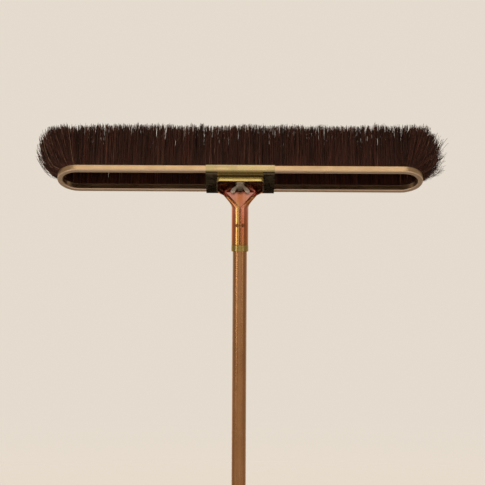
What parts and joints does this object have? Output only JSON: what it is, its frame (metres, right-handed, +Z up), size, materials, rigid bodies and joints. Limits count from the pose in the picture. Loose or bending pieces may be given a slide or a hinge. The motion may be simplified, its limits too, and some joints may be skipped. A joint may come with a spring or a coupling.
{
  "type": "push broom",
  "caption": "Push broom: dark bristles in an oval metal channel, two clamp plates, a stamped socket held by a wing nut, and a long metal handle.",
  "frame": {"origin": "middle of the flat end of the hang cap, at the free end of the handle", "axes": "+Z up the handle to the head, +X along the head, -Y the side that the wing nut and the bolt's end face"},
  "size_m": [0.6718, 0.1083, 1.6851],
  "materials": {
    "handle_metal": "satin",
    "cap_plastic": "moulded, fine grain",
    "collar_zinc": "yellow zinc plate",
    "socket_zinc": "iridescent yellow zinc plate",
    "channel_metal": "satin",
    "wire_steel": "drawn",
    "bristle_fibre": "stiff dark brown filaments",
    "clamp_zinc": "pale yellow zinc plate",
    "bolt_steel": "zinc plate",
    "nut_zinc": "bright zinc plate"
  },
  "bodies": {
    "handle": {"handle_tube": "handle_metal", "hang_cap": "cap_plastic", "socket_collar": "collar_zinc", "handle_socket": "socket_zinc"},
    "brush_head": {"brush_channel": "channel_metal", "core_wire": "wire_steel", "bristle_row_front": "bristle_fibre", "bristle_row_back": "bristle_fibre", "bristle_end_left": "bristle_fibre", "bristle_end_right": "bristle_fibre", "clamp_plate_front": "clamp_zinc", "clamp_plate_back": "clamp_zinc", "carriage_bolt": "bolt_steel"},
    "washer": {"flat_washer": "bolt_steel"},
    "wing_nut": {"wing_nut": "nut_zinc"}
  },
  "joints": [
    {"name": "head_swivel", "type": "hinge", "parent": "handle", "child": "brush_head", "pos_m": [0, -0.01117, 1.59], "axis": [0, 0.4695, 0.8829], "continuous": true},
    {"name": "washer_slide", "type": "slide", "parent": "brush_head", "child": "washer", "axis": [0, -0.4695, -0.8829], "range_m": [0, 0.0043]},
    {"name": "wing_nut_turn", "type": "hinge", "parent": "washer", "child": "wing_nut", "pos_m": [0, -0.01117, 1.59], "axis": [0, -0.4695, -0.8829], "range_deg": [0, 1080]}
  ],
  "couplings": [
    {"joint": "washer_slide", "follows": "wing_nut_turn", "m_per_rad": 0.00022457}
  ]
}
